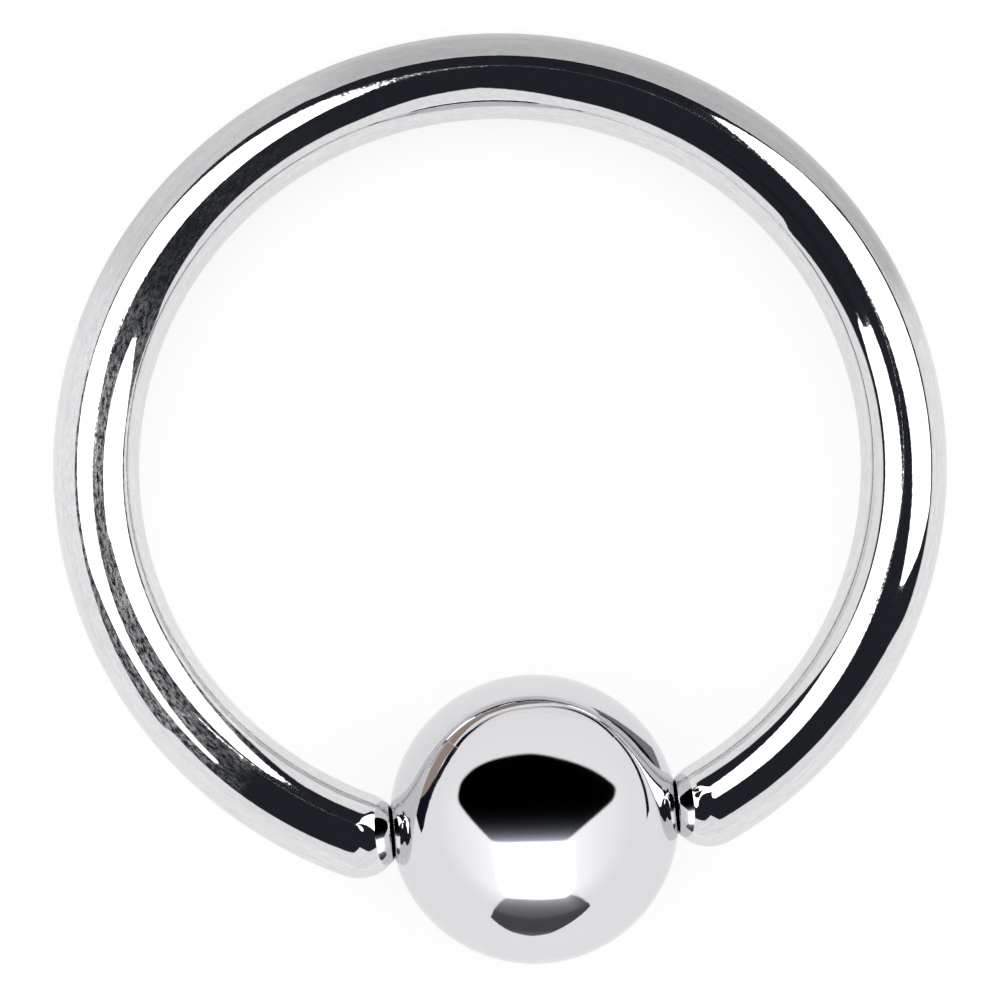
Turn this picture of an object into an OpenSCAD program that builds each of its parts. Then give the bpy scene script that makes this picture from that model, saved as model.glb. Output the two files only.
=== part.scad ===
// A captive bead ring of polished surgical steel, for a piercing. A round wire is bent into an open
// ring. Its two domed ends reach into dimples on opposite sides of a ball, and the spring of the
// wire holds the ball between them.
// The ring lies on its side, as it rests on a table: +Z is up and the ball is at -Y. The ball and
// the wire opposite it touch z = 0, which tips the ring's plane by a few degrees. Millimetres.

/* [Wire ring] */
// Diameter of the round wire, 16 gauge
wire_d = 1.2; // [0.8:0.1:1.6]
// Inner diameter of the ring
inner_d = 10; // [8:0.5:16]

/* [Ball] */
// Diameter of the ball
ball_d = 4; // [3:0.25:6]
// Depth of each dimple below the ball's surface
dimple_depth = 0.2; // [0.1:0.05:0.4]
// Clearance between a wire end and the dimple that it sits in
end_clearance = 0.03; // [0.02:0.01:0.06]

/* [Hidden] */
$fn = 96;

wire_r = wire_d / 2;
ball_r = ball_d / 2;
// The wire's centreline is an arc of this radius
ring_r = inner_d / 2 + wire_r;

// Each dimple is part of a sphere round the centre of the dome that sits in it
dimple_r = wire_r + end_clearance;
// From the ball's centre to the centre of each dome
dome_offset = ball_r - dimple_depth + dimple_r;
// Half of the opening in the ring, as an angle at the ring's centre
end_angle = asin(dome_offset / ring_r);
// From the ring's centre to the ball's centre
ball_distance = ring_r * cos(end_angle);

// At rest the ball lifts its side of the ring, because it is thicker than the wire
rest_tilt = asin((ball_r - wire_r) / (ring_r + ball_distance));
ring_centre_z = wire_r + ring_r * sin(rest_tilt);
// The origin is below the middle of the resting part
far_reach = ring_r * cos(rest_tilt) + wire_r;
near_reach = ball_distance * cos(rest_tilt) + ball_r;
ring_centre_y = (near_reach - far_reach) / 2;

// Turns and lifts what is drawn in the ring's own plane, round its centre, into the resting place
module at_rest() {
    translate([0, ring_centre_y, ring_centre_z])
        rotate([-rest_tilt, 0, 0])
            children();
}

// The domed end of the wire at +X: a ball of the wire's own thickness, its poles along the wire
module wire_dome() {
    rotate([0, 0, end_angle - 90])
        translate([ring_r, 0, 0])
            rotate([90, 0, 0])
                sphere(r = wire_r);
}

// The bent wire, open towards -Y, with a dome on each end
module wire_ring() {
    color("silver")
        at_rest() {
            rotate([0, 0, end_angle - 90])
                rotate_extrude(angle = 360 - 2 * end_angle)
                    translate([ring_r, 0])
                        circle(r = wire_r);
            for (side = [0, 1])
                mirror([side, 0, 0])
                    wire_dome();
        }
}

// The ball, with a round dimple on each side for the wire's ends
module captive_bead() {
    color("gainsboro")
        at_rest()
            translate([0, -ball_distance, 0])
                difference() {
                    sphere(r = ball_r);
                    for (side = [-1, 1])
                        translate([side * dome_offset, 0, 0])
                            sphere(r = dimple_r);
                }
}

wire_ring();
captive_bead();
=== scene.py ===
import math

import bpy
from mathutils import Matrix, Vector


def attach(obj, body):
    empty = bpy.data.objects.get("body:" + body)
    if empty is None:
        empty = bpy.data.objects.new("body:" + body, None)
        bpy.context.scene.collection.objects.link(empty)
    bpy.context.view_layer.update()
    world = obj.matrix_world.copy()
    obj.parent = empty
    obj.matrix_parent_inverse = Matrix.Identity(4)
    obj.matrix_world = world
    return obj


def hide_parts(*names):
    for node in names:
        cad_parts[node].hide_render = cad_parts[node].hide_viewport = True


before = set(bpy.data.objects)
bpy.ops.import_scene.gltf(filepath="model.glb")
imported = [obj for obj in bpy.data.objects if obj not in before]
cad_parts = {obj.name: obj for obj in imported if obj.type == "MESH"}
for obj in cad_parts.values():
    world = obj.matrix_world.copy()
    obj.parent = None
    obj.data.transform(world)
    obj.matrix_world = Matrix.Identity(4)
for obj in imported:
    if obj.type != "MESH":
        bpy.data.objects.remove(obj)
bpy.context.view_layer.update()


# The ring is one round wire of surgical steel, bent into an open ring and tumbled bright.
# Both ends are domed and stand in the ball's dimples, and the spring of the wire holds the ball.
# Drawing the wire left faint lines along it, and tumbling left small pits on its left side.
MM = 0.001
wire_radius = 0.6 * MM
ring_radius = 5.6 * MM
ball_radius = 2.0 * MM
dimple_depth = 0.2 * MM
end_clearance = 0.03 * MM
dimple_radius = wire_radius + end_clearance
dome_offset = ball_radius - dimple_depth + dimple_radius
end_angle = math.asin(dome_offset / ring_radius)
ball_distance = ring_radius * math.cos(end_angle)
rest_tilt = math.asin((ball_radius - wire_radius) / (ring_radius + ball_distance))
far_reach = ring_radius * math.cos(rest_tilt) + wire_radius
near_reach = ball_distance * math.cos(rest_tilt) + ball_radius
ring_middle_height = wire_radius + ring_radius * math.sin(rest_tilt)
ring_middle = Vector((0, (near_reach - far_reach) / 2, ring_middle_height))
lay_down = Matrix.Rotation(-rest_tilt, 3, "X")
stations_along = 640
points_around = 96
dome_steps = 16


def wire_stations():
    sweep = 2 * math.pi - 2 * end_angle
    length = ring_radius * sweep
    for step in range(dome_steps):
        lean = math.pi / 2 * step / dome_steps
        yield end_angle, -wire_radius * math.cos(lean), wire_radius * math.sin(lean), 0
    for step in range(stations_along + 1):
        share = step / stations_along
        yield end_angle + sweep * share, 0, wire_radius, length * share
    for step in range(dome_steps - 1, -1, -1):
        lean = math.pi / 2 * step / dome_steps
        yield end_angle + sweep, wire_radius * math.cos(lean), wire_radius * math.sin(lean), length


def skin_over_circles(first_points, around):
    faces = []
    for row in range(len(first_points) - 1):
        here = first_points[row]
        there = first_points[row + 1]
        for step in range(around):
            following = (step + 1) % around
            if row == 0:
                faces.append((here, there + following, there + step))
            elif row == len(first_points) - 2:
                faces.append((here + step, here + following, there))
            else:
                faces.append((here + step, here + following, there + following, there + step))
    return faces


def smooth_mesh(name, points, faces):
    mesh = bpy.data.meshes.new(name)
    mesh.from_pydata(points, [], faces)
    mesh.shade_smooth()
    return mesh


def bent_wire_mesh(name):
    points = []
    straightened = []
    first_points = []
    for angle, past_end, radius, length_so_far in wire_stations():
        outward = Vector((math.sin(angle), -math.cos(angle), 0))
        onward = Vector((math.cos(angle), math.sin(angle), 0))
        centre = outward * ring_radius + onward * past_end
        along = length_so_far + past_end
        first_points.append(len(points))
        around = points_around if radius > 0 else 1
        for step in range(around):
            turn = 2 * math.pi * step / points_around
            offset = outward * math.cos(turn) + Vector((0, 0, 1)) * math.sin(turn)
            points.append(ring_middle + lay_down @ (centre + offset * radius))
            straightened.append((along, radius * math.cos(turn), radius * math.sin(turn)))
    mesh = smooth_mesh(name, points, skin_over_circles(first_points, points_around))
    straight = mesh.attributes.new("straightened_wire", "FLOAT_VECTOR", "POINT")
    for point, place in enumerate(straightened):
        straight.data[point].vector = place
    return mesh


def started_material(name):
    material = bpy.data.materials.new(name)
    material.use_nodes = True
    tree = material.node_tree
    return material, tree, tree.nodes["Principled BSDF"]


def join(tree, source, target):
    tree.links.new(source, target)


def mottling(tree, coordinates, scale, detail, roughness, stretch=(1, 1, 1)):
    stretched = tree.nodes.new("ShaderNodeMapping")
    stretched.inputs["Scale"].default_value = stretch
    noise = tree.nodes.new("ShaderNodeTexNoise")
    noise.inputs["Scale"].default_value = scale
    noise.inputs["Detail"].default_value = detail
    noise.inputs["Roughness"].default_value = roughness
    join(tree, coordinates, stretched.inputs["Vector"])
    join(tree, stretched.outputs["Vector"], noise.inputs["Vector"])
    return noise.outputs["Fac"]


def spread_to(tree, value, low, high, new_low=0, new_high=1):
    spread = tree.nodes.new("ShaderNodeMapRange")
    spread.inputs["From Min"].default_value = low
    spread.inputs["From Max"].default_value = high
    spread.inputs["To Min"].default_value = new_low
    spread.inputs["To Max"].default_value = new_high
    join(tree, value, spread.inputs["Value"])
    return spread.outputs["Result"]


def laid_over(tree, below, above, share):
    blend = tree.nodes.new("ShaderNodeMix")
    blend.data_type = "RGBA"
    join(tree, share, blend.inputs["Factor"])
    for socket, colour in ((blend.inputs["A"], below), (blend.inputs["B"], above)):
        if isinstance(colour, tuple):
            socket.default_value = (*colour, 1)
        else:
            join(tree, colour, socket)
    return blend.outputs["Result"]


def raised_by(tree, height, depth):
    bump = tree.nodes.new("ShaderNodeBump")
    bump.inputs["Strength"].default_value = 1
    bump.inputs["Distance"].default_value = depth
    join(tree, height, bump.inputs["Height"])
    return bump.outputs["Normal"]


def calculate(tree, operation, first, second=0):
    node = tree.nodes.new("ShaderNodeMath")
    node.operation = operation
    for socket, value in zip(node.inputs, (first, second)):
        if isinstance(value, (int, float)):
            socket.default_value = value
        else:
            join(tree, value, socket)
    return node.outputs["Value"]


# Places along the wire are measured from its right end, where the wire's straight length starts.
drawn_bright = (0.745, 0.745, 0.755)
drawn_dull = (0.665, 0.665, 0.68)
pit_steel = (0.58, 0.58, 0.60)
ring_rim_tint = (0.95, 0.95, 0.95, 1)
grain_depth = 0.00026 * MM
faint_pits_start = 16.5 * MM
faint_pits_full = 19.5 * MM
faint_pits_share = 0.04
strong_pits_start = 20.7 * MM
strong_pits_full = 22.3 * MM
strong_pits_share = 0.52
pits_fade = 27.8 * MM
pits_gone = 28.6 * MM


def pits_along_wire(tree, along, patches):
    lengthwise = tree.nodes.new("ShaderNodeSeparateXYZ")
    join(tree, along, lengthwise.inputs["Vector"])
    place = lengthwise.outputs["X"]
    faint = spread_to(tree, place, faint_pits_start, faint_pits_full, new_high=faint_pits_share)
    strong = spread_to(tree, place, strong_pits_start, strong_pits_full, new_high=strong_pits_share)
    before_end = spread_to(tree, place, pits_fade, pits_gone, new_low=1, new_high=0)
    in_patches = spread_to(tree, patches, low=0.32, high=0.52, new_low=0.35)
    pits = mottling(tree, along, scale=27000, detail=4, roughness=0.75, stretch=(0.32, 1, 1))
    pitted = calculate(tree, "ADD", faint, strong)
    for share in (before_end, in_patches, spread_to(tree, pits, low=0.42, high=0.60)):
        pitted = calculate(tree, "MULTIPLY", pitted, share)
    return pitted


def tumbled_wire_steel():
    material, tree, steel = started_material("tumbled_wire_steel")
    straight = tree.nodes.new("ShaderNodeAttribute")
    straight.attribute_name = "straightened_wire"
    along = straight.outputs["Vector"]
    drawn_lines = mottling(tree, along, scale=22000, detail=2, roughness=0.6, stretch=(0.12, 1, 1))
    speckle = mottling(tree, along, scale=18000, detail=2, roughness=0.6, stretch=(0.5, 1, 1))
    half_each = calculate(tree, "MULTIPLY", calculate(tree, "ADD", drawn_lines, speckle), 0.5)
    mottled = spread_to(tree, half_each, low=0.38, high=0.62)
    patches = mottling(tree, along, scale=2200, detail=2, roughness=0.6, stretch=(0.4, 1, 1))
    pitted = pits_along_wire(tree, along, patches)
    drawn_steel = laid_over(tree, drawn_dull, drawn_bright, mottled)
    join(tree, laid_over(tree, drawn_steel, pit_steel, pitted), steel.inputs["Base Color"])
    bare_metal = spread_to(tree, pitted, low=0, high=1, new_low=1, new_high=0.45)
    join(tree, bare_metal, steel.inputs["Metallic"])
    dulled = spread_to(tree, patches, low=0.3, high=0.7, new_low=0.02, new_high=0.035)
    join(tree, dulled, steel.inputs["Roughness"])
    grain = mottling(tree, along, scale=19000, detail=1, roughness=0.5, stretch=(0.5, 1, 1))
    join(tree, raised_by(tree, grain, grain_depth), steel.inputs["Normal"])
    steel.inputs["Specular Tint"].default_value = ring_rim_tint
    return material


def stand_in_scene(name, mesh):
    piece = bpy.data.objects.new(name, mesh)
    bpy.context.scene.collection.objects.link(piece)
    return piece


polished_ring = stand_in_scene("polished_ring", bent_wire_mesh("polished_ring"))
polished_ring.data.materials.append(tumbled_wire_steel())
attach(polished_ring, "ring_body")
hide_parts("wire_ring")


# The ball is a solid bead of surgical steel, ground round and polished to a mirror.
# A shallow round dimple is drilled on each side, where the wire's ends snap in.
# The rim of each dimple is broken by a very small rounding.
steps_over_half_ball = 80
steps_in_dimple = 16
steps_round_rim = 6
turns_of_ball = 192
rim_rounding = 0.02 * MM
ball_middle = ring_middle + lay_down @ Vector((0, -ball_distance, 0))


def half_ball_profile():
    over = ball_radius - rim_rounding
    under = dimple_radius + rim_rounding
    rim_along = (over ** 2 - under ** 2 + dome_offset ** 2) / (2 * dome_offset)
    rim_out = math.sqrt(over ** 2 - rim_along ** 2)
    dimple_end = math.atan2(rim_out, dome_offset - rim_along)
    ball_start = math.atan2(rim_out, rim_along)
    for step in range(steps_in_dimple):
        turn = dimple_end * step / steps_in_dimple
        yield dome_offset - dimple_radius * math.cos(turn), dimple_radius * math.sin(turn)
    for step in range(steps_round_rim):
        turn = -dimple_end + (ball_start + dimple_end) * step / steps_round_rim
        yield rim_along + rim_rounding * math.cos(turn), rim_out + rim_rounding * math.sin(turn)
    for step in range(steps_over_half_ball + 1):
        turn = ball_start + (math.pi / 2 - ball_start) * step / steps_over_half_ball
        yield ball_radius * math.cos(turn), ball_radius * math.sin(turn)


def dimpled_ball_mesh(name):
    half = list(half_ball_profile())
    profile = half + [(-along, out) for along, out in reversed(half[:-1])]
    points = []
    first_points = []
    for along, out in profile:
        first_points.append(len(points))
        around = turns_of_ball if out > 0 else 1
        for step in range(around):
            turn = 2 * math.pi * step / turns_of_ball
            place = Vector((along, out * math.cos(turn), out * math.sin(turn)))
            points.append(ball_middle + lay_down @ place)
    faces = skin_over_circles(first_points, turns_of_ball)
    outward_faces = [(face[0], *face[:0:-1]) for face in faces]
    return smooth_mesh(name, points, outward_faces)


bright_steel = (0.70, 0.69, 0.71)
dull_steel = (0.675, 0.665, 0.685)
ball_rim_tint = (0.93, 0.93, 0.94, 1)
hairline_depth = 0.0002 * MM


def mirror_steel():
    material, tree, steel = started_material("mirror_steel")
    steel.inputs["Metallic"].default_value = 1
    place = tree.nodes.new("ShaderNodeTexCoord").outputs["Object"]
    haze = mottling(tree, place, scale=700, detail=3, roughness=0.6)
    hairlines = mottling(tree, place, scale=9000, detail=2, roughness=0.5, stretch=(0.1, 1, 1))
    join(tree, laid_over(tree, dull_steel, bright_steel, haze), steel.inputs["Base Color"])
    dulled = spread_to(tree, haze, low=0.35, high=0.65, new_low=0.03, new_high=0.06)
    join(tree, dulled, steel.inputs["Roughness"])
    join(tree, raised_by(tree, hairlines, hairline_depth), steel.inputs["Normal"])
    steel.inputs["Specular Tint"].default_value = ball_rim_tint
    return material


polished_ball = stand_in_scene("polished_ball", dimpled_ball_mesh("polished_ball"))
polished_ball.data.materials.append(mirror_steel())
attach(polished_ball, "bead_body")
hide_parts("captive_bead")


# The camera looks down on the ring as it lies on the table, from the side where the ball is.
# It leans a little from the ring's own axis, and the picture is turned so that the ball
# stands right of the middle. A long lens keeps both sides of the ring the same size.
camera_lean = math.radians(13.8)
camera_turn = math.radians(5.35)
camera_distance = 250 * MM
camera_sees_from = 10 * MM
camera_sees_to = 2000 * MM
picture_width = 13.87 * MM
ring_above_middle = 0.472 * MM

side_axis = lay_down @ Vector((1, 0, 0))
back_axis = lay_down @ Vector((0, 1, 0))
ring_axis = lay_down @ Vector((0, 0, 1))
turned_back = back_axis * math.cos(camera_turn) + side_axis * math.sin(camera_turn)
picture_right = side_axis * math.cos(camera_turn) - back_axis * math.sin(camera_turn)
picture_up = turned_back * math.cos(camera_lean) + ring_axis * math.sin(camera_lean)
to_camera = ring_axis * math.cos(camera_lean) - turned_back * math.sin(camera_lean)

camera = stand_in_scene("camera", bpy.data.cameras.new("camera"))
camera.data.lens = camera.data.sensor_width * camera_distance / picture_width
camera.data.clip_start = camera_sees_from
camera.data.clip_end = camera_sees_to
camera_stand = Matrix((picture_right, picture_up, to_camera)).transposed().to_4x4()
camera_stand.translation = ring_middle - picture_up * ring_above_middle + to_camera * camera_distance
camera.matrix_world = camera_stand
bpy.context.scene.camera = camera


# The floor is a plain sheet of white acrylic that the ring lies on, lit a little from below.
# It ends where the walls of the light tent stand.
tent_reach = 400 * MM
clear_white = (0.41, 0.41, 0.41)
hazy_white = (0.39, 0.39, 0.39)
acrylic_glow = 0.66
acrylic_roughness = 0.9


def white_acrylic():
    material, tree, acrylic = started_material("white_acrylic")
    acrylic.inputs["Roughness"].default_value = acrylic_roughness
    acrylic.inputs["Specular IOR Level"].default_value = 0
    acrylic.inputs["Emission Color"].default_value = (1, 1, 1, 1)
    acrylic.inputs["Emission Strength"].default_value = acrylic_glow
    place = tree.nodes.new("ShaderNodeTexCoord").outputs["Object"]
    haze = mottling(tree, place, scale=40, detail=2, roughness=0.5)
    join(tree, laid_over(tree, hazy_white, clear_white, haze), acrylic.inputs["Base Color"])
    return material


floor_mesh = bpy.data.meshes.new("floor")
floor_corners = [(tent_reach * x, tent_reach * y, 0) for x, y in ((-1, -1), (1, -1), (1, 1), (-1, 1))]
floor_mesh.from_pydata(floor_corners, [], [(0, 1, 2, 3)])
floor = stand_in_scene("floor", floor_mesh)
floor.data.materials.append(white_acrylic())


# The studio is a white light tent. The steel is lit by the tent alone, once for the ring and once
# for the ball: white walls, a dark opening in the roof for the camera, and soft lamps in it.
# Each wall and the roof is one square lamp, painted by the direction in which the piece sees it.
tent_walls = [
    ("roof", (0, 0, 1)), ("right", (1, 0, 0)), ("left", (-1, 0, 0)),
    ("back", (0, 1, 0)), ("front", (0, -1, 0)),
]
tent_white = (1.0, 1.0, 1.0)
opening_dark = (0.018, 0.021, 0.026)


def calculate_vector(tree, operation, first, second=(0, 0, 0)):
    node = tree.nodes.new("ShaderNodeVectorMath")
    node.operation = operation
    join(tree, first, node.inputs[0])
    if isinstance(second, bpy.types.NodeSocket):
        join(tree, second, node.inputs[1])
    else:
        node.inputs[1].default_value = second
    return node.outputs["Value" if operation in ("DOT_PRODUCT", "LENGTH") else "Vector"]


def eased(tree, value, low, high):
    node = tree.nodes.new("ShaderNodeMapRange")
    node.interpolation_type = "SMOOTHSTEP"
    node.inputs["From Min"].default_value = low
    node.inputs["From Max"].default_value = high
    join(tree, value, node.inputs["Value"])
    return node.outputs["Result"]


def past_edge(tree, depth, softness):
    return eased(tree, depth, -softness, softness)


def facing_for(tree, direction):
    return calculate_vector(tree, "NORMALIZE", calculate_vector(tree, "ADD", direction, to_camera))


def light_tent(name, lit_piece, middle, painted):
    lamp = bpy.data.lights.new(name, "AREA")
    lamp.shape = "SQUARE"
    lamp.size = 2 * tent_reach
    lamp.energy = math.pi * lamp.size ** 2
    lamp.use_nodes = True
    tree = lamp.node_tree
    place = tree.nodes.new("ShaderNodeNewGeometry").outputs["Position"]
    direction = calculate_vector(tree, "NORMALIZE", calculate_vector(tree, "SUBTRACT", place, middle))
    join(tree, painted(tree, direction), tree.nodes["Emission"].inputs["Color"])
    receivers = bpy.data.collections.new(name + "_lights")
    receivers.objects.link(lit_piece)
    for side, axis in tent_walls:
        panel = stand_in_scene(name + "_" + side, lamp)
        panel.location = Vector((0, 0, tent_reach)) + Vector(axis) * tent_reach
        panel.rotation_euler = Vector(axis).to_track_quat("Z", "Y").to_euler()
        panel.visible_camera = False
        panel.light_linking.receiver_collection = receivers


# Each row is a direction clockwise round the ring, in degrees from the top of the picture, and how
# far out on the wire's width the edge is seen: 1 at the ring's outer rim and -1 at its inner rim.
# Where a lamp's inner edge is at 1, there is no lamp.
opening_edge = [
    (0, 0.49), (30, 0.50), (40, 0.62), (56, 0.63), (100, 0.63), (112, 0.64), (116, 0.57),
    (130, 0.48), (158, 0.43), (168, 0.33), (177, 0.27), (190, 0.41), (210, 0.45), (229, 0.48),
    (231, 0.58), (255, 0.49), (300, 0.44), (310, 0.52), (329, 0.56), (333, 0.45), (360, 0.49),
]
lamp_inner_edge = [
    (0, 1), (30, 1), (31, 0.36), (36, 0.27), (42, 0.20), (50, 0.15), (62, 0.135), (78, 0.15),
    (92, 0.19), (102, 0.24), (109, 0.31), (110, 1), (220, 1), (221, 0.21), (240, 0.145),
    (256, 0.11), (272, 0.07), (300, 0.03), (318, 0.015), (330, 0.04), (338, 0.09), (344, 0.18),
    (345, 1), (360, 1),
]
lamp_outer_edge = [
    (0, -0.3), (30, -0.3), (31, 0.38), (38, 0.46), (46, 0.54), (56, 0.585), (80, 0.59), (97, 0.60),
    (103, 0.53), (109, 0.36), (110, -0.3), (220, -0.3), (221, 0.27), (240, 0.31), (249, 0.36),
    (255, 0.42), (290, 0.41), (306, 0.42), (318, 0.37), (334, 0.30), (344, 0.20), (345, -0.3),
    (360, -0.3),
]
ring_lamp_white = (3.2, 3.2, 3.2)
ring_edge_softness = 0.012
dark_overhead = 0.013


def followed_round(tree, turn, outline):
    node = tree.nodes.new("ShaderNodeFloatCurve")
    line = node.mapping.curves[0]
    while len(line.points) < len(outline):
        line.points.new(0.5, 0.5)
    for point, (degrees, value) in zip(line.points, outline):
        point.location = (degrees / 360, (value + 1) / 2)
        point.handle_type = "VECTOR"
    node.mapping.update()
    join(tree, turn, node.inputs["Value"])
    return calculate(tree, "SUBTRACT", calculate(tree, "MULTIPLY", node.outputs["Value"], 2), 1)


def in_ring_lamps(tree, turn, reach):
    past_inner = calculate(tree, "SUBTRACT", reach, followed_round(tree, turn, lamp_inner_edge))
    within_outer = calculate(tree, "SUBTRACT", followed_round(tree, turn, lamp_outer_edge), reach)
    return past_edge(tree, calculate(tree, "MINIMUM", past_inner, within_outer), ring_edge_softness)


def seen_by_ring(tree, direction):
    facing = facing_for(tree, direction)
    rightward = calculate_vector(tree, "DOT_PRODUCT", facing, picture_right)
    backward = calculate_vector(tree, "DOT_PRODUCT", facing, turned_back)
    upward = calculate_vector(tree, "DOT_PRODUCT", facing, ring_axis)
    level_share = calculate(tree, "SUBTRACT", 1, calculate(tree, "MULTIPLY", upward, upward))
    outward = calculate(tree, "SQRT", level_share)
    angle = calculate(tree, "ARCTAN2", rightward, backward)
    turn = calculate(tree, "FRACT", calculate(tree, "DIVIDE", angle, 2 * math.pi))
    leaned = calculate(tree, "DIVIDE", calculate(tree, "MULTIPLY", backward, upward), outward)
    outward_seen = calculate(tree, "MULTIPLY", outward, math.cos(camera_lean))
    leaned_seen = calculate(tree, "MULTIPLY", leaned, math.sin(camera_lean))
    reach = calculate(tree, "ADD", outward_seen, leaned_seen)
    past_opening = calculate(tree, "SUBTRACT", reach, followed_round(tree, turn, opening_edge))
    surround = laid_over(tree, opening_dark, tent_white, past_edge(tree, past_opening, ring_edge_softness))
    opposite_turn = calculate(tree, "FRACT", calculate(tree, "ADD", turn, 0.5))
    near_side = in_ring_lamps(tree, turn, reach)
    far_side = in_ring_lamps(tree, opposite_turn, calculate(tree, "MULTIPLY", reach, -1))
    lit = laid_over(tree, surround, ring_lamp_white, calculate(tree, "MAXIMUM", near_side, far_side))
    return laid_over(tree, opening_dark, lit, eased(tree, outward, 0, dark_overhead))


light_tent("tent_round_ring", polished_ring, ring_middle, seen_by_ring)


# The ball sees the opening as a wide dark shape, under it one bright lamp behind the tent's cloth,
# which glows a little round the lamp, and under that the dark front edge of the tent. Corners
# are given clockwise where they are seen on the ball, in ball radii from its middle.
opening_corners = [
    (-0.284, -0.150), (-0.466, 0.032), (-0.53, 0.13), (-0.514, 0.255), (-0.43, 0.352), (-0.285, 0.423),
    (-0.03, 0.466), (0.16, 0.438), (0.335, 0.383), (0.478, 0.307), (0.568, 0.222), (0.548, 0.128),
    (0.394, -0.004), (0.218, -0.150),
]
lamp_corners = [
    (-0.29, -0.157), (0.275, -0.142), (0.285, -0.45), (0.23, -0.53), (0.04, -0.55), (-0.20, -0.53),
    (-0.25, -0.45),
]
front_edge_corners = [
    (-0.315, -0.68), (-0.265, -0.59), (-0.20, -0.53), (0.0, -0.50), (0.30, -0.515), (0.395, -0.59),
    (0.25, -0.75), (-0.25, -0.80),
]
ball_edge_softness = 0.01
corner_rounding = 0.045
ball_tent_white = (1.05, 1.05, 1.05)
ball_lamp_white = (2.2, 2.2, 2.2)
cloth_glow = (1.42, 1.41, 1.43)
cloth_glow_reach = 0.22
cloth_glow_low = 0.02
cloth_glow_high = 0.4
opening_black = (0, 0, 0)
opening_glow = (0.78, 0.84, 0.95)
opening_glow_reach = 0.035
front_edge_dark = (0.085, 0.088, 0.095)
front_edge_glow = (0.62, 0.62, 0.64)
front_edge_glow_reach = 0.05


def smaller_of(tree, first, second):
    node = tree.nodes.new("ShaderNodeMath")
    node.operation = "SMOOTH_MIN"
    join(tree, first, node.inputs[0])
    join(tree, second, node.inputs[1])
    node.inputs[2].default_value = corner_rounding
    return node.outputs["Value"]


def depth_inside(tree, across, up, corners):
    nearest = None
    for (x0, y0), (x1, y1) in zip(corners, corners[1:] + corners[:1]):
        length = math.hypot(x1 - x0, y1 - y0)
        inward_x = (y1 - y0) / length
        inward_y = (x0 - x1) / length
        offset = -(x0 * inward_x + y0 * inward_y)
        depth = calculate(tree, "ADD", calculate(tree, "MULTIPLY", across, inward_x), offset)
        depth = calculate(tree, "ADD", depth, calculate(tree, "MULTIPLY", up, inward_y))
        nearest = depth if nearest is None else smaller_of(tree, nearest, depth)
    return nearest


def faded(tree, depth, reach):
    outside = calculate(tree, "MINIMUM", depth, 0)
    return calculate(tree, "EXPONENT", calculate(tree, "DIVIDE", outside, reach))


def seen_by_ball(tree, direction):
    facing = facing_for(tree, direction)
    across = calculate_vector(tree, "DOT_PRODUCT", facing, picture_right)
    up = calculate_vector(tree, "DOT_PRODUCT", facing, picture_up)
    in_opening = depth_inside(tree, across, up, opening_corners)
    in_lamp = depth_inside(tree, across, up, lamp_corners)
    in_front_edge = depth_inside(tree, across, up, front_edge_corners)
    above_floor = calculate_vector(tree, "DOT_PRODUCT", direction, (0, 0, 1))
    off_floor = eased(tree, above_floor, cloth_glow_low, cloth_glow_high)
    glow = calculate(tree, "MULTIPLY", faded(tree, in_lamp, cloth_glow_reach), off_floor)
    seen = laid_over(tree, ball_tent_white, cloth_glow, glow)
    opening = laid_over(tree, opening_black, opening_glow, faded(tree, in_lamp, opening_glow_reach))
    seen = laid_over(tree, seen, opening, past_edge(tree, in_opening, ball_edge_softness))
    near_lamp = faded(tree, in_lamp, front_edge_glow_reach)
    front_edge = laid_over(tree, front_edge_dark, front_edge_glow, near_lamp)
    seen = laid_over(tree, seen, front_edge, past_edge(tree, in_front_edge, ball_edge_softness))
    return laid_over(tree, seen, ball_lamp_white, past_edge(tree, in_lamp, ball_edge_softness))


light_tent("tent_round_ball", polished_ball, ball_middle, seen_by_ball)


# Cards lie and stand on the floor for their reflections alone. Each is painted as one of the two
# pieces sees it in the photograph. The other piece sees something else there, mostly white, so
# the card also glows for that piece alone, by just what its paint lacks.
card_lift = 0.02 * MM
picture_down = Vector((-picture_up.x, -picture_up.y, 0)).normalized()
rightward_on_floor = Vector((picture_right.x, picture_right.y, 0)).normalized()


def to_wall(middle, place):
    across = (math.copysign(tent_reach, place.x) - middle.x) / place.x if place.x else math.inf
    along = (math.copysign(tent_reach, place.y) - middle.y) / place.y if place.y else math.inf
    return min(across, along)


def card_point(middle, degrees, distance, height):
    turn = math.radians(degrees)
    place = -picture_down * math.cos(turn) + rightward_on_floor * math.sin(turn)
    reach = min(distance, to_wall(middle, place))
    return (middle.x + place.x * reach, middle.y + place.y * reach, height)


def edge_on_floor(middle, places):
    return [card_point(middle, degrees, distance, card_lift) for degrees, distance in places]


def arc_on_floor(turns, distance):
    return edge_on_floor(ring_middle, [(degrees, distance) for degrees in turns])


def upright_edge(distance, places):
    return [card_point(ring_middle, degrees, distance, height) for degrees, height in places]


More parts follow.
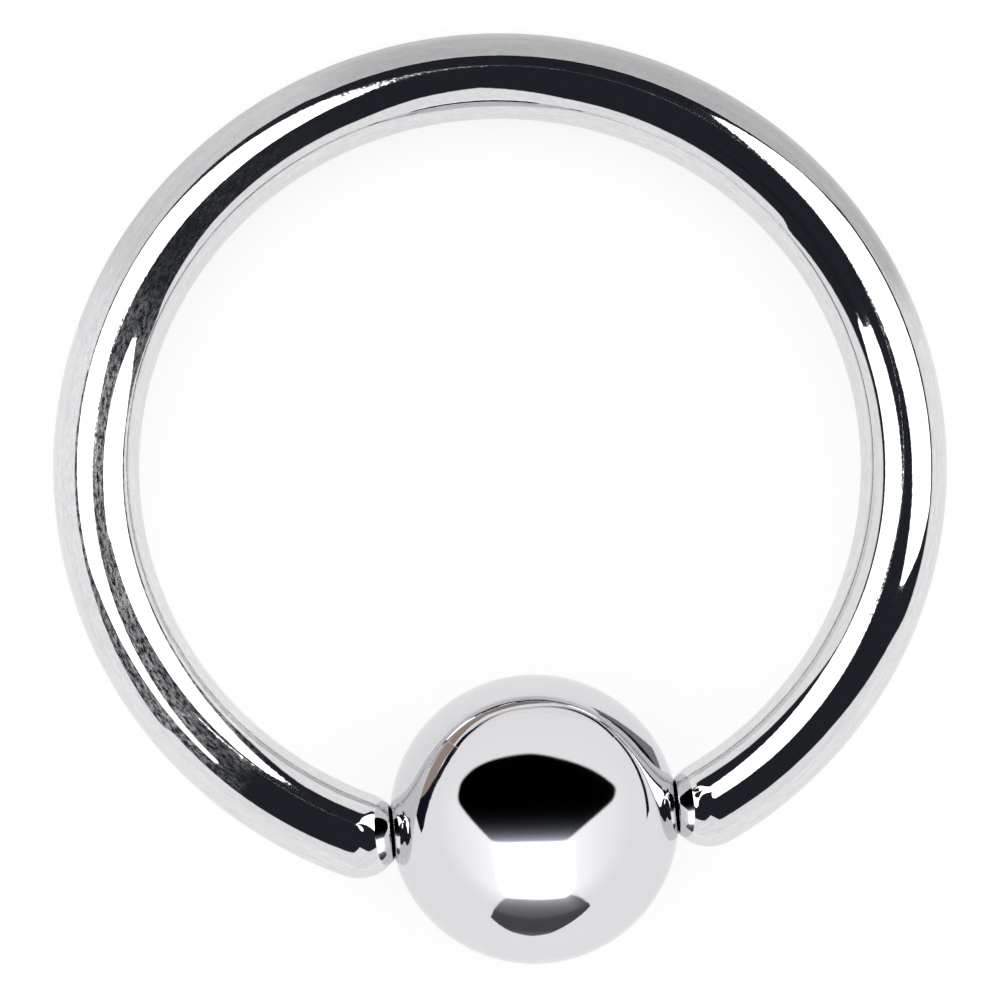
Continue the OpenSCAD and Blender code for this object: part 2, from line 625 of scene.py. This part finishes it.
def stand_card(name, near_edge, far_edge, seen_painted, seen_glowing, glows_for):
    points = near_edge + far_edge[::-1]
    last = len(points) - 1
    faces = [(step, last - step, last - step - 1, step + 1) for step in range(len(near_edge) - 1)]
    mesh = bpy.data.meshes.new(name)
    mesh.from_pydata(points, [], faces)
    card = stand_in_scene(name, mesh)
    card.visible_camera = False
    card.visible_diffuse = False
    card.visible_shadow = False
    material, tree, paint = started_material(name)
    paint.inputs["Specular IOR Level"].default_value = 0
    painted = seen_painted(tree)
    join(tree, painted, paint.inputs["Base Color"])
    lacking = calculate_vector(tree, "SUBTRACT", seen_glowing(tree), painted)
    join(tree, lacking, paint.inputs["Emission Color"])
    paint.inputs["Emission Strength"].default_value = 1
    mesh.materials.append(material)
    receivers = bpy.data.collections.new(name + "_lights")
    receivers.objects.link(glows_for)
    card.light_linking.receiver_collection = receivers


def plain_cloth(darker, paler, weave_scale):
    def painted(tree):
        place = tree.nodes.new("ShaderNodeTexCoord").outputs["Object"]
        haze = mottling(tree, place, scale=weave_scale, detail=2, roughness=0.5)
        return laid_over(tree, darker, paler, haze)
    return painted


def place_round_ring(tree):
    place = tree.nodes.new("ShaderNodeNewGeometry").outputs["Position"]
    from_ring = calculate_vector(tree, "SUBTRACT", place, ring_middle)
    rightward = calculate_vector(tree, "DOT_PRODUCT", from_ring, picture_right)
    backward = calculate_vector(tree, "DOT_PRODUCT", from_ring, turned_back)
    return calculate(tree, "ARCTAN2", rightward, backward), calculate_vector(tree, "LENGTH", from_ring)


def eased_round(tree, turn, low, high):
    return eased(tree, turn, math.radians(low), math.radians(high))


cloth_weave_scale = 200
white_cloth = plain_cloth((0.99, 0.99, 0.99), (1, 1, 1), cloth_weave_scale)
white_for_ball = plain_cloth((1.04, 1.04, 1.04), (1.05, 1.05, 1.05), cloth_weave_scale)


# The front card is the dark cloth at the tent's front edge, which the ball mirrors under its lamp.
# It reaches to the wall. Each row is a direction in degrees from the top of the picture, clockwise,
# and how far from the ball's middle the cloth starts.
front_places = [
    (204, 19 * MM), (199, 13.7 * MM), (192, 10.3 * MM), (181, 9 * MM), (172, 10.1 * MM), (160, 15.9 * MM),
    (147, 41 * MM),
]
near_front_cloth = (0.17, 0.18, 0.20)
middle_front_cloth = (0.078, 0.080, 0.086)
far_front_cloth = (0.105, 0.108, 0.115)
near_front_end = 13.5 * MM
middle_front_place = 18 * MM
far_front_place = 150 * MM


def front_cloth(tree):
    turn, distance = place_round_ring(tree)
    off_near = eased(tree, distance, near_front_end, middle_front_place)
    off_middle = eased(tree, distance, middle_front_place, far_front_place)
    shade = laid_over(tree, near_front_cloth, middle_front_cloth, off_near)
    return laid_over(tree, shade, far_front_cloth, off_middle)


front_near = edge_on_floor(ball_middle, front_places)
front_far = edge_on_floor(ball_middle, [(degrees, math.inf) for degrees, distance in front_places])
stand_card("front_card", front_near, front_far, front_cloth, white_cloth, polished_ring)


# The ball mirrors the wire with the table round it, and there the photograph has dark edges: violet
# grey and black close to the right side, which are the wire's shadow on the table under it, painted
# on a card; brown on the left, which is painted darkening beside the wire; and a black gap at the
# table's rim that shows past the wire. These cards lie round the ring, and a ribbon stands where the gap
# is far off.
violet_shade = (0.30, 0.285, 0.32)
shadow_black = (0.01, 0.01, 0.012)
shadow_start = 5.85 * MM
shadow_full = 6.1 * MM
violet_near = 4.75 * MM
violet_far = 6.7 * MM
violet_turns = range(60, 130, 5)
left_brown = (0.39, 0.31, 0.27)
top_brown = (0.29, 0.26, 0.26)
gap_black = (0.008, 0.007, 0.014)
gap_pale = (0.72, 0.70, 0.71)
gap_palest_turn = -6
gap_distance = 60 * MM
right_gap_near = 15 * MM
right_gap_far = 20 * MM
right_gap_turns = range(48, 106, 4)

# Rows are degrees clockwise from the top of the picture, and the distance from the ring's middle,
# or for a foot and a top the height.
brown_places = [
    (-112, 8.5 * MM), (-104, 9.2 * MM), (-92, 10 * MM), (-83, 11 * MM), (-76, 11 * MM), (-71, 11 * MM),
    (-60, 11 * MM), (-45, 11 * MM),
]
gap_start_places = [
    (-112, 9.7 * MM), (-104, 11.7 * MM), (-92, 18 * MM), (-83, 27 * MM), (-76, 38 * MM), (-71, 58 * MM),
    (-60, 60 * MM), (-45, 60 * MM),
]
gap_end_places = [
    (-116, 15 * MM), (-108, 20 * MM), (-99, 27 * MM), (-90, 43 * MM), (-83.5, 60 * MM), (-71, 60 * MM),
]
gap_foot_places = [
    (-84, 0), (-76, 0), (-70, 0), (-62, 1.2 * MM), (-54, 0.3 * MM), (-49, 0.2 * MM), (-45, 0.2 * MM),
]
gap_top_places = [
    (-84, 0.5 * MM), (-76, 3 * MM), (-70, 5.3 * MM), (-62, 6.1 * MM), (-54, 5.9 * MM), (-49, 4.8 * MM),
    (-45, 3.6 * MM),
]


# Painted shadow of the wire on the table under it: violet grey shade under the wire, black where the
# shadow is full.
def wire_shadow_on_table(tree):
    turn, distance = place_round_ring(tree)
    return laid_over(tree, violet_shade, shadow_black, eased(tree, distance, shadow_start, shadow_full))


# Painted darkening beside the wire's image in the ball: brown on the left, darker brown towards the top.
def brown_darkening_by_wire(tree):
    turn, distance = place_round_ring(tree)
    return laid_over(tree, left_brown, top_brown, eased_round(tree, turn, low=-40, high=-15))


def gap_round_table(tree):
    turn, distance = place_round_ring(tree)
    past_palest = calculate(tree, "SUBTRACT", turn, math.radians(gap_palest_turn))
    off_palest = calculate(tree, "ABSOLUTE", past_palest)
    return laid_over(tree, gap_pale, gap_black, eased_round(tree, off_palest, low=8, high=52))


# The card of painted wire shadow, seen by the ball; for the ring it glows up to white.
violet_start = arc_on_floor(violet_turns, violet_near)
violet_end = arc_on_floor(violet_turns, violet_far)
stand_card("wire_shadow_card", violet_start, violet_end, wire_shadow_on_table, white_cloth, polished_ring)

brown_start = edge_on_floor(ring_middle, brown_places)
gap_start = edge_on_floor(ring_middle, gap_start_places)
gap_end = edge_on_floor(ring_middle, gap_end_places)
stand_card("brown_card", brown_start, gap_start, brown_darkening_by_wire, white_cloth, polished_ring)
stand_card("wedge_card", gap_start[:len(gap_end)], gap_end, gap_round_table, white_cloth, polished_ring)

ribbon_foot = upright_edge(gap_distance, gap_foot_places)
ribbon_top = upright_edge(gap_distance, gap_top_places)
stand_card("gap_ribbon", ribbon_foot, ribbon_top, gap_round_table, white_cloth, polished_ring)

right_gap_start = arc_on_floor(right_gap_turns, right_gap_near)
right_gap_end = arc_on_floor(right_gap_turns, right_gap_far)
stand_card("gap_card", right_gap_start, right_gap_end, gap_round_table, white_cloth, polished_ring)


# Behind the far side of the wire the photograph is grey, and the ball doesn't mirror that grey. So
# a grey card of painted shade lies there with a low strip at its back, for the ring alone. In front
# of the strip stand the brown and the dark line that the ball mirrors there.
shade_near = 6.4 * MM
shade_far = 8.8 * MM
shade_turns = range(-70, 75, 5)
near_shade = (0.80, 0.80, 0.80)
far_shade = (0.655, 0.655, 0.655)
left_shade = (0.84, 0.84, 0.84)
near_shade_end = 6.6 * MM
far_shade_start = 8.6 * MM
strip_height = 3.7 * MM
strip_lowering = 1.75 * MM
strip_lowered_from = 28
strip_lowered_over = 24
mirrored_distance = 8.7 * MM

# Rows are degrees clockwise from the top of the picture, and the height.
brown_top_places = [
    (-70, 2.5 * MM), (-60, 2.25 * MM), (-50, 1.85 * MM), (-36, 1.5 * MM), (-22, 1.5 * MM),
    (-10, 1.45 * MM), (3, 1.2 * MM), (15, 0.8 * MM), (22, 0.3 * MM),
]
line_foot_places = [
    (-70, 2.9 * MM), (-60, 2.7 * MM), (-50, 2.7 * MM), (-36, 2.4 * MM), (-20, 2.2 * MM), (0, 2.15 * MM),
    (15, 1.5 * MM), (28, 1.0 * MM), (41, 0.9 * MM), (54, 1.0 * MM), (70, 1.4 * MM),
]
line_top_places = [
    (-70, 3.7 * MM), (-60, 3.4 * MM), (-50, 3.3 * MM), (-36, 2.9 * MM), (-20, 2.65 * MM), (0, 2.65 * MM),
    (15, 2.05 * MM), (28, 1.6 * MM), (41, 1.5 * MM), (54, 1.6 * MM), (70, 1.95 * MM),
]


# Painted shade behind the far side of the wire: grey, paler near the wire and on the left, white past its
# ends.
def behind_far_side(tree):
    turn, distance = place_round_ring(tree)
    shade = laid_over(tree, near_shade, far_shade, eased(tree, distance, near_shade_end, far_shade_start))
    shade = laid_over(tree, left_shade, shade, eased_round(tree, turn, low=-30, high=-15))
    left_end = eased_round(tree, turn, low=-66, high=-54)
    right_end = eased_round(tree, turn, low=68, high=58)
    return laid_over(tree, tent_white, shade, calculate(tree, "MULTIPLY", left_end, right_end))


def strip_top(degrees):
    lowered = min(max((degrees - strip_lowered_from) / strip_lowered_over, 0), 1)
    return strip_height - strip_lowering * lowered


shade_start = arc_on_floor(shade_turns, shade_near)
shade_end = arc_on_floor(shade_turns, shade_far)
strip_edge = upright_edge(shade_far, [(degrees, strip_top(degrees)) for degrees in shade_turns])
stand_card("shade_card", shade_start, shade_end, behind_far_side, white_for_ball, polished_ball)
stand_card("shade_strip", shade_end, strip_edge, behind_far_side, white_for_ball, polished_ball)

brown_foot = upright_edge(mirrored_distance, [(degrees, card_lift) for degrees, top in brown_top_places])
brown_top = upright_edge(mirrored_distance, brown_top_places)
stand_card("brown_strip", brown_foot, brown_top, brown_darkening_by_wire, behind_far_side, polished_ring)

line_foot = upright_edge(mirrored_distance, line_foot_places)
line_top = upright_edge(mirrored_distance, line_top_places)
stand_card("line_strip", line_foot, line_top, gap_round_table, behind_far_side, polished_ring)


# Two small black flags hang over the ring. They keep the left lamp's narrow end off the right side
# of the wire. The ball sees the high one inside the dark opening, as black as that, and on the low
# one it sees what the tent shows behind it. Corners are millimetres, right and back.
high_flag_height = 20 * MM
high_flag_near_corners = [(-1.0, 7.35), (-3.4, 5.6), (-4.8, 3.5), (-7.0, -0.3)]
high_flag_far_corners = [(-6.0, 6.5), (-11.3, 5.8), (-13.3, 3.4), (-10.6, 0.3)]
low_flag_height = 11 * MM
low_flag_back_corners = [(-2.6, 3.8), (-5.0, 3.5), (-7.2, 3.4)]
low_flag_front_corners = [(-2.1, 0.9), (-4.2, 0.9), (-6.8, 2.2)]
flock_weave_scale = 2000


def flag_edge(corners, height):
    return [(x * MM, y * MM, height) for x, y in corners]


def tent_behind_flag(tree):
    place = tree.nodes.new("ShaderNodeNewGeometry").outputs["Position"]
    from_ball = calculate_vector(tree, "SUBTRACT", place, ball_middle)
    facing = facing_for(tree, calculate_vector(tree, "NORMALIZE", from_ball))
    to_middle = calculate_vector(tree, "MULTIPLY", facing, (-ball_radius, -ball_radius, -ball_radius))
    from_surface = calculate_vector(tree, "ADD", from_ball, to_middle)
    return seen_by_ball(tree, calculate_vector(tree, "NORMALIZE", from_surface))


black_flock = plain_cloth((0, 0, 0), (0.001, 0.001, 0.001), flock_weave_scale)
flock_in_opening = plain_cloth(opening_dark, opening_dark, flock_weave_scale)
grey_flock = plain_cloth((0.013, 0.015, 0.019), (0.015, 0.017, 0.021), flock_weave_scale)
high_near = flag_edge(high_flag_near_corners, high_flag_height)
high_far = flag_edge(high_flag_far_corners, high_flag_height)
stand_card("high_flag", high_near, high_far, black_flock, flock_in_opening, polished_ring)
low_back = flag_edge(low_flag_back_corners, low_flag_height)
low_front = flag_edge(low_flag_front_corners, low_flag_height)
stand_card("low_flag", low_back, low_front, grey_flock, tent_behind_flag, polished_ball)


# The air round the tent is plain white. It lights the floor and is the picture's backdrop, and
# the steel doesn't mirror it, because the tent stands round the steel.
world = bpy.data.worlds.new("white_backdrop")
bpy.context.scene.world = world
world.use_nodes = True
world.node_tree.nodes["Background"].inputs["Color"].default_value = (1, 1, 1, 1)
world.cycles_visibility.glossy = False
bpy.context.scene.view_settings.view_transform = "Standard"
